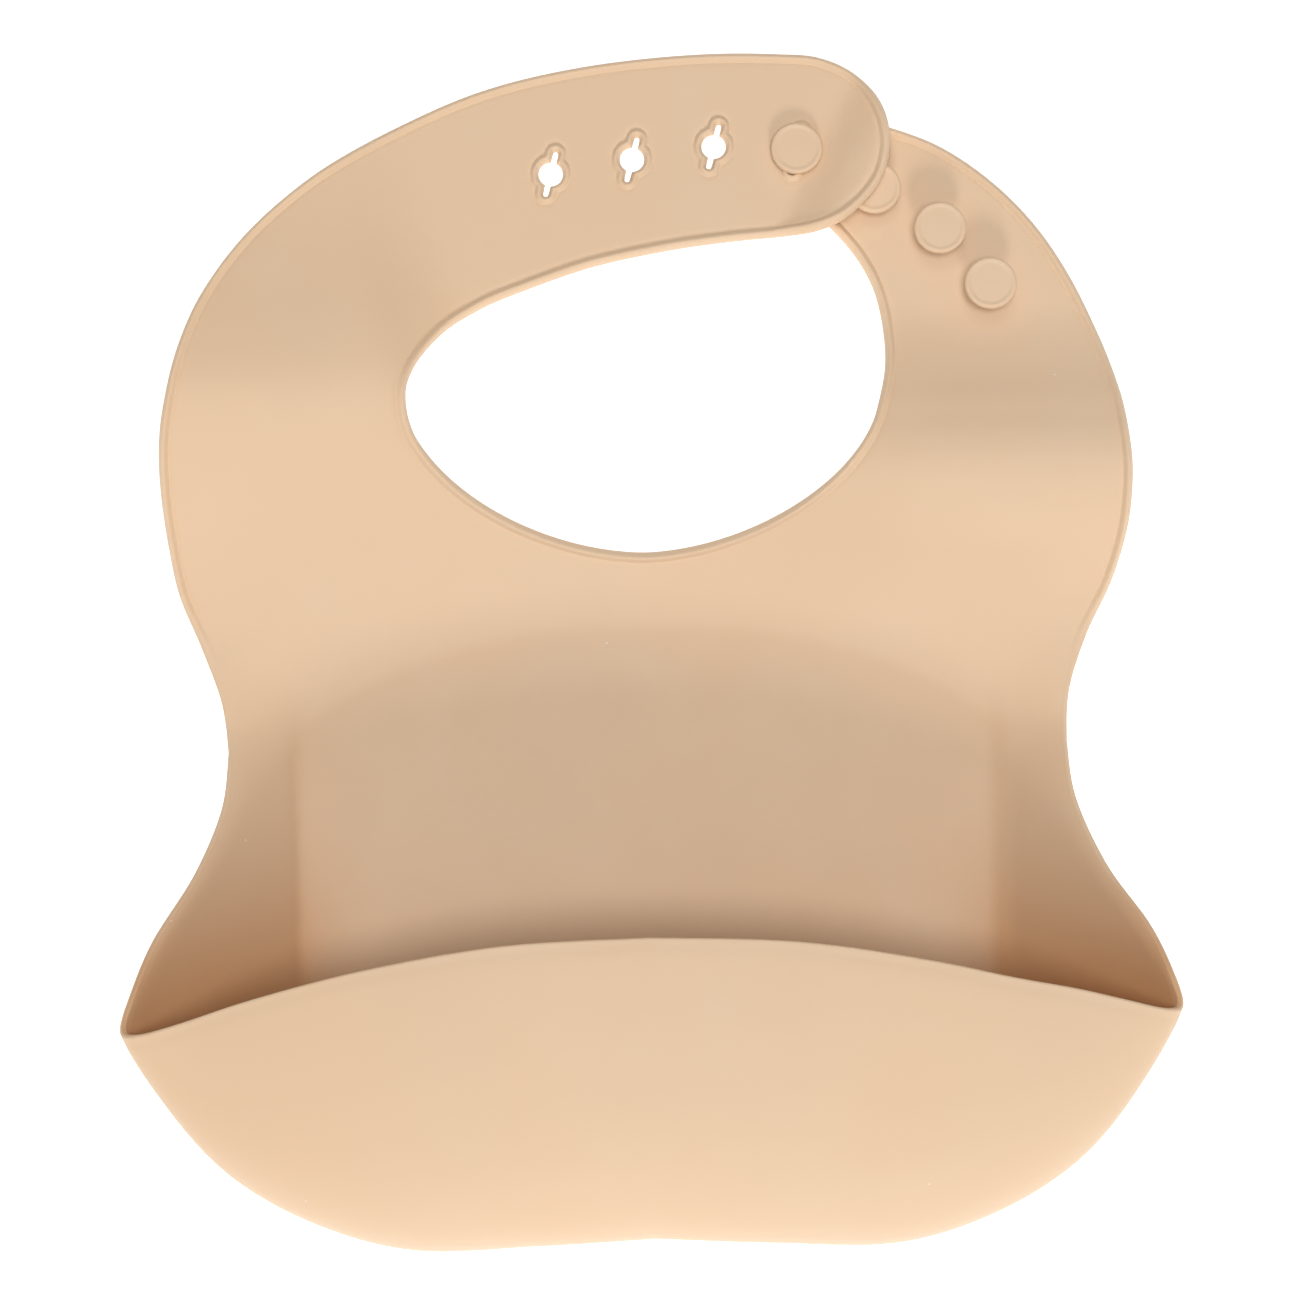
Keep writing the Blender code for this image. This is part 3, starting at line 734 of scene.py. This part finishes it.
def left_strap_skin():
    skin = Skin()
    up = tab_seam_way()
    inner = edge_strip(skin, left_strap_depth, LEFT_NECK, TAB_LOW, LEFTWARD, up)
    outer = edge_strip(skin, left_strap_depth, TAB_HIGH, LEFT_OUTER, -up, RIGHTWARD)
    seam_top = seam_points(skin, left_strap_depth, inner[-1, -1], outer[-1, 0])
    seam_low = seam_points(skin, left_strap_depth, outer[-1, -1], inner[-1, 0])
    skin.cap([*inner[:, -1], *seam_top, *outer[::-1, 0]])
    skin.cap([*outer[:, -1], *seam_low, *inner[::-1, 0]])
    fill(skin, left_strap_depth, [np.array([*inner[-1], *seam_top, *outer[-1], *seam_low])])
    return skin.build("left_strap_skin")


def tab_skin():
    skin = Skin()
    up = tab_seam_way()
    edge = edge_strip(skin, tab_depth, TAB_LOW, TAB_HIGH, up, -up)
    seam = seam_points(skin, tab_depth, edge[-1, -1], edge[-1, 0])
    holes = [buttonhole(skin, tab_depth, centre) for centre in HOLE_PLACES]
    skin.cap([*edge[:, -1], *seam, *edge[::-1, 0]])
    fill(skin, tab_depth, [np.array([*edge[-1], *seam]), *holes])
    return skin.build("tab_skin")


def pocket_skin():
    skin = Skin()
    grid, inside = GRID_POINTS.copy(), GRID_INSIDE.copy()
    along = np.gradient(grid, axis=0)
    across = np.gradient(grid, axis=1)
    normal = unit(np.cross(along, across))
    normal[:, 0] = (0.0, 1.0, 0.0)
    for row, side in ((0, -1), (-1, 1)):
        points, tilt = surface(chest_depth, waist_row(side))
        grid[row], normal[row] = points, tilt
        inside[row] = np.abs(points[-1, 0] - points[:, 0]) / LIP_LEAN
    half = half_thickness(inside, 0.0)
    rows = [skin.add(grid[i], normal[i], half[i], half[i], inside[i]) for i in range(len(grid))]
    table = np.array(rows)
    skin.strips(table[:, ::-1].T)
    skin.cap(table[:, 0][::-1])
    skin.cap(table[0])
    skin.cap(table[-1][::-1])
    return skin.build("pocket_skin")


# ---- Studs ------------------------------------------------------------------
STUD_HEAD_RADIUS = 5.9
STUD_HEAD_THICKNESS = 1.8
STUD_STEM_RADIUS = 2.4
STUD_STEM_HEIGHT = 4.7      # from the strap's face to the underside of the head
STUD_PRESSED = 1.05         # the stud under the tab's end is pressed down by this much
STUD_ROOT = 0.4             # its foot reaches this far into the strap
STUD_FOOT_FILLET = 1.1
STUD_NECK_FILLET = 0.4      # between the stem and the head
STUD_LOW_ROUND, STUD_TOP_ROUND = 0.55, 0.62     # radii of the head's two edges
STUD_RIM_WIDTH = 0.9
STUD_DISH = 0.16            # how far the head's flat lies below its rim
STUD_CROWN = 0.05           # and how far that flat rises again to its middle
STUD_SEGMENTS = 72


def arc(centre, radius, start, end, steps):
    """Points (radius, height) along an arc between two angles in degrees."""
    turns = np.radians(np.linspace(start, end, steps + 1))
    return [(centre[0] + radius * math.cos(t), centre[1] + radius * math.sin(t)) for t in turns]


def stud_profile(stem):
    """Radius and height of the turned mushroom shape, from its foot up to the middle of its head."""
    foot, head = STUD_FOOT_FILLET, STUD_HEAD_RADIUS
    top = stem + STUD_HEAD_THICKNESS
    points = [(0.0, -STUD_ROOT), (STUD_STEM_RADIUS + foot, -STUD_ROOT)]
    points += arc((STUD_STEM_RADIUS + foot, foot), foot, 270, 180, 8)
    points += arc((STUD_STEM_RADIUS + STUD_NECK_FILLET, stem - STUD_NECK_FILLET), STUD_NECK_FILLET, 180, 90, 4)
    points += arc((head - STUD_LOW_ROUND, stem + STUD_LOW_ROUND), STUD_LOW_ROUND, 270, 360, 7)
    points += arc((head - STUD_TOP_ROUND, top - STUD_TOP_ROUND), STUD_TOP_ROUND, 0, 90, 9)
    inner = head - STUD_TOP_ROUND
    for t in np.linspace(0.0, 1.0, 8)[1:]:
        points.append((inner - STUD_RIM_WIDTH * t, top - STUD_DISH * smooth_step(t, 0.0, 1.0)))
    centre = inner - STUD_RIM_WIDTH
    for t in np.linspace(1.0, 0.0, 9)[1:]:
        points.append((centre * t, top - STUD_DISH + STUD_CROWN * (1.0 - t * t)))
    return points


def button_stud(number, centre):
    """A turned stud that stands square on the button strap's front face."""
    profile = stud_profile(STUD_STEM_HEIGHT - (STUD_PRESSED if number == 2 else 0.0))
    lean = math.atan(STRAP_SLOPE)
    outward = np.array((0.0, -math.cos(lean), math.sin(lean)))
    upward = np.array((0.0, math.sin(lean), math.cos(lean)))
    across = np.array((1.0, 0.0, 0.0))
    foot = np.array((centre[0], float(right_strap_depth(*np.array(centre))), centre[1])) + outward * HALF_SHEET
    points, rings = [], []
    for radius, height in profile:
        spin = [0.0] if radius == 0.0 else np.linspace(0.0, 2 * math.pi, STUD_SEGMENTS, endpoint=False)
        rings.append(range(len(points), len(points) + len(spin)))
        points += [foot + outward * height + radius * (math.cos(t) * across + math.sin(t) * upward) for t in spin]
    faces = []
    for low, high in zip(rings, rings[1:]):
        for k in range(STUD_SEGMENTS):
            m = (k + 1) % STUD_SEGMENTS
            corners = (low[k % len(low)], low[m % len(low)], high[m % len(high)], high[k % len(high)])
            faces.append(tuple(dict.fromkeys(corners)))
    mesh = bpy.data.meshes.new(f"stud_{number}")
    mesh.from_pydata((np.array(points) * MM).tolist(), [], faces)
    mesh.shade_smooth()
    thing = bpy.data.objects.new(f"stud_{number}", mesh)
    bpy.context.scene.collection.objects.link(thing)
    return thing


# ---- Shading across the seams -----------------------------------------------
SEAM_MATCH = 5e4            # points of two skins are the same where their metres agree after scaling and rounding


def shade_together(skins):
    """Smooth shading that runs on from one skin to the next. The walls inside the seams stay flat."""
    found, all_normals = {}, []
    for thing, walls in skins:
        mesh = thing.data
        normals = np.zeros((len(mesh.vertices), 3))
        edge_of_cap = set()
        for polygon in mesh.polygons:
            if polygon.index >= len(mesh.polygons) - walls:
                edge_of_cap.update(polygon.vertices)
                continue
            for vertex in polygon.vertices:
                normals[vertex] += np.array(polygon.normal) * polygon.area
        normals = unit(normals)
        all_normals.append(normals)
        for vertex in edge_of_cap:
            key = tuple(np.round(np.array(mesh.vertices[vertex].co) * SEAM_MATCH).astype(int))
            found.setdefault(key, []).append((normals, vertex))
    for group in found.values():
        total = sum(normals[vertex] for normals, vertex in group)
        total /= np.linalg.norm(total)
        for normals, vertex in group:
            normals[vertex] = total
    for (thing, walls), normals in zip(skins, all_normals):
        mesh = thing.data
        mesh.shade_smooth()
        loops = []
        for polygon in mesh.polygons:
            flat = polygon.index >= len(mesh.polygons) - walls
            loops += [polygon.normal[:] if flat else tuple(normals[v]) for v in polygon.vertices]
        mesh.normals_split_custom_set(loops)


# ---- Materials --------------------------------------------------------------
class Nodes:
    """Short calls for building the nodes of a material or of the world."""

    def __init__(self, owner, place="Object"):
        owner.use_nodes = True
        self.tree = owner.node_tree
        self.place = self.add("TexCoord").outputs[place]

    def add(self, kind):
        return self.tree.nodes.new("ShaderNode" + kind)

    def link(self, start, end):
        self.tree.links.new(start, end)

    def noise(self, scale, detail=2.0, roughness=0.5, distortion=0.0):
        node = self.add("TexNoise")
        node.inputs["Scale"].default_value = scale
        node.inputs["Detail"].default_value = detail
        node.inputs["Roughness"].default_value = roughness
        node.inputs["Distortion"].default_value = distortion
        self.link(self.place, node.inputs["Vector"])
        return node.outputs["Fac"]

    def specks(self, scale, size):
        """1 inside small scattered dots, 0 elsewhere."""
        node = self.add("TexVoronoi")
        node.inputs["Scale"].default_value = scale
        self.link(self.place, node.inputs["Vector"])
        return self.ramp(node.outputs["Distance"], size, size * 0.5)

    def ramp(self, value, low, high, start=0.0, end=1.0):
        """A linear change from start to end as the value goes from low to high."""
        node = self.add("MapRange")
        self.link(value, node.inputs["Value"])
        for name, number in (("From Min", low), ("From Max", high), ("To Min", start), ("To Max", end)):
            node.inputs[name].default_value = number
        return node.outputs["Result"]

    def math(self, kind, first, second):
        node = self.add("Math")
        node.operation = kind
        for socket, value in zip(node.inputs, (first, second)):
            if isinstance(value, (int, float)):
                socket.default_value = value
            else:
                self.link(value, socket)
        return node.outputs[0]

    def mix(self, share, first, second):
        node = self.add("Mix")
        node.data_type = "RGBA"
        if isinstance(share, (int, float)):
            node.inputs[0].default_value = share
        else:
            self.link(share, node.inputs[0])
        for socket, value in ((node.inputs[6], first), (node.inputs[7], second)):
            if isinstance(value, tuple):
                socket.default_value = (*value, 1.0)
            else:
                self.link(value, socket)
        return node.outputs[2]

    def bump(self, height, distance, strength, onto=None):
        node = self.add("Bump")
        node.inputs["Strength"].default_value = strength
        node.inputs["Distance"].default_value = distance
        self.link(height, node.inputs["Height"])
        if onto is not None:
            self.link(onto, node.inputs["Normal"])
        return node.outputs["Normal"]

    def attribute(self, name):
        node = self.add("Attribute")
        node.attribute_name = name
        return node.outputs["Fac"]


SILICONE_BASE = (0.735, 0.529, 0.347)
SILICONE_WARM = (0.749, 0.525, 0.339)
SILICONE_PALE = (0.738, 0.541, 0.368)
SILICONE_WORN = (0.800, 0.610, 0.430)
SILICONE_PAINTED_SHADE = (0.525, 0.245, 0.090)   # painted shade, deepest down in the pocket's corners
DUST = (0.90, 0.84, 0.76)


def silicone(name, roughness, sheen):
    """Matte moulded silicone: cloudy pigment, shade painted into the pocket's corners and folds, a fine stippled skin,
    paler worn edges and a few specks of dust.
    """
    material = bpy.data.materials.new(name)
    n = Nodes(material)
    inputs = material.node_tree.nodes["Principled BSDF"].inputs
    cloud = n.ramp(n.noise(14.0, 3.0, 0.55, 0.4), 0.3, 0.7)
    fleck = n.ramp(n.noise(120.0, 4.0, 0.6), 0.35, 0.65)
    pigment = n.mix(cloud, SILICONE_WARM, SILICONE_PALE)
    pigment = n.mix(n.math("MULTIPLY", fleck, 0.35), pigment, SILICONE_BASE)
    # Painted shade: darkens and warms the colour in the pocket's corners, along the folds, on the back plate and just
    # below the arch.
    painted_shade = n.math("MULTIPLY", n.attribute("painted_shade"), n.ramp(cloud, 0.0, 1.0, 0.8, 1.0))
    pigment = n.mix(painted_shade, pigment, SILICONE_PAINTED_SHADE)
    worn = n.math("MULTIPLY", n.attribute("wear"), n.ramp(n.noise(60.0, 3.0), 0.3, 0.8, 0.0, 0.35))
    pigment = n.mix(worn, pigment, SILICONE_WORN)
    dust = n.math("MULTIPLY", n.specks(95.0, 0.035), n.ramp(n.noise(30.0, 1.0), 0.55, 0.6))
    pigment = n.mix(n.math("MULTIPLY", dust, 0.6), pigment, DUST)
    n.link(pigment, inputs["Base Color"])
    rub = n.ramp(n.noise(45.0, 5.0, 0.6, 0.6), 0.25, 0.75, roughness - 0.07, roughness + 0.06)
    grain_rough = n.ramp(n.noise(2600.0, 2.0), 0.3, 0.7, -0.04, 0.04)
    n.link(n.math("ADD", rub, grain_rough), inputs["Roughness"])
    ripple = n.bump(n.noise(55.0, 2.0, 0.4), 0.0004, 0.25)
    stipple = n.bump(n.noise(1500.0, 3.0, 0.6), 0.00005, 0.35, ripple)
    n.link(n.bump(dust, 0.0002, 0.5, stipple), inputs["Normal"])
    inputs["IOR"].default_value = 1.41
    inputs["Specular IOR Level"].default_value = 0.35
    inputs["Sheen Weight"].default_value = sheen
    inputs["Sheen Roughness"].default_value = 0.55
    inputs["Sheen Tint"].default_value = (1.0, 0.93, 0.84, 1.0)
    return material


# ---- Stage, in metres -------------------------------------------------------
FLOOR_Z = -0.36
LIGHT_AIM = (0.0, 0.0, -0.05)
WHITE = (1.0, 1.0, 1.0, 1.0)


def pale(name, colour, glow):
    """Plain white paper that glows a little, so that it stays white."""
    material = bpy.data.materials.new(name)
    n = Nodes(material)
    inputs = material.node_tree.nodes["Principled BSDF"].inputs
    soft = n.ramp(n.noise(3.0, 2.0), 0.3, 0.7, 0.0, 1.0)
    n.link(n.mix(soft, colour, tuple(c * 0.985 for c in colour)), inputs["Base Color"])
    inputs["Roughness"].default_value = 0.9
    inputs["Specular IOR Level"].default_value = 0.1
    inputs["Emission Color"].default_value = WHITE
    inputs["Emission Strength"].default_value = glow
    return material


def make_floor():
    """A pale floor that curves up into a backdrop well behind the bib."""
    width, front, back, sweep, top = 4.0, -4.0, 2.2, 0.8, 3.0
    line = [(front, FLOOR_Z), (back, FLOOR_Z)]
    turns = np.linspace(0.1, math.pi / 2, 14)
    line += [(back + sweep * math.sin(t), FLOOR_Z + sweep * (1 - math.cos(t))) for t in turns]
    line += [(back + sweep, top)]
    points = [(x, y, z) for y, z in line for x in (-width, width)]
    faces = [(2 * i, 2 * i + 1, 2 * i + 3, 2 * i + 2) for i in range(len(line) - 1)]
    mesh = bpy.data.meshes.new("floor")
    mesh.from_pydata(points, [], faces)
    mesh.shade_smooth()
    mesh.materials.append(pale("floor_paper", (0.93, 0.925, 0.915), 0.95))
    floor = bpy.data.objects.new("floor", mesh)
    floor.visible_shadow = False
    floor.visible_diffuse = False
    floor.visible_glossy = False
    bpy.context.scene.collection.objects.link(floor)


def area_light(name, towards, distance, size, level):
    """A soft round light in a direction from the bib. At level 1 it lights white paper to white."""
    data = bpy.data.lights.new(name, "AREA")
    data.shape = "DISK"
    data.size = size
    data.energy = level * (math.pi * distance) ** 2
    light = bpy.data.objects.new(name, data)
    way = Vector(towards).normalized()
    light.location = Vector(LIGHT_AIM) + way * distance
    light.rotation_euler = way.to_track_quat("Z", "Y").to_euler()
    bpy.context.scene.collection.objects.link(light)


def make_world(front, rear, top):
    """Soft white light from below the horizon, stronger from behind the bib, and a little of it from above."""
    world = bpy.data.worlds.new("studio")
    n = Nodes(world, "Generated")
    parts = n.add("SeparateXYZ")
    n.link(n.place, parts.inputs["Vector"])
    depthwise = n.ramp(parts.outputs["Y"], -0.15, 0.15, front, rear)
    upright = n.ramp(parts.outputs["Z"], -0.15, 0.15, 1.0, top)
    fill_light = n.tree.nodes["Background"]
    fill_light.inputs["Color"].default_value = (1.0, 0.995, 0.985, 1.0)
    n.link(n.math("MULTIPLY", depthwise, upright), fill_light.inputs["Strength"])
    backdrop = n.add("Background")
    backdrop.inputs["Color"].default_value = WHITE
    backdrop.inputs["Strength"].default_value = 1.0
    choose = n.add("MixShader")
    n.link(n.add("LightPath").outputs["Is Camera Ray"], choose.inputs["Fac"])
    n.link(fill_light.outputs["Background"], choose.inputs[1])
    n.link(backdrop.outputs["Background"], choose.inputs[2])
    n.link(choose.outputs["Shader"], n.tree.nodes["World Output"].inputs["Surface"])
    bpy.context.scene.world = world


def main():
    make_floor()
    make_world(0.26, 1.9, 0.6)
    area_light("front", (0.03, -0.99, 0.0), 2.5, 1.0, 0.545)
    area_light("high", (0.0, -0.86, 0.5), 2.5, 1.0, 0.11)
    area_light("low", (0.12, -0.58, -0.80), 2.6, 0.6, 0.36)
    bpy.context.scene.view_settings.view_transform = "Standard"
    soft = silicone("silicone", 0.58, 0.12)
    smooth = silicone("stud_silicone", 0.5, 0.1)
    chest, left, tab = chest_sheet(), left_strap_skin(), tab_skin()
    right, pocket = right_strap_skin(), pocket_skin()
    shade_together([chest, left, tab, right, pocket])
    studs = [button_stud(i + 1, centre) for i, centre in enumerate(STUD_PLACES)]
    for thing, _ in (chest, left, tab, right, pocket):
        thing.data.materials.append(soft)
    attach(chest[0], "panel")
    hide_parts("bib_panel")
    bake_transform(left[0])
    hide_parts("hole_strap")
    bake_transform(right[0])
    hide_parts("button_strap")
    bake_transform(tab[0])
    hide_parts("strap_tab")
    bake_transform(pocket[0])
    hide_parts("catch_pocket")
    for number, stud in enumerate(studs, start=1):
        stud.data.materials.append(smooth)
        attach(stud, "right_strap")
        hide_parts(f"button_stud_{number}")


main()
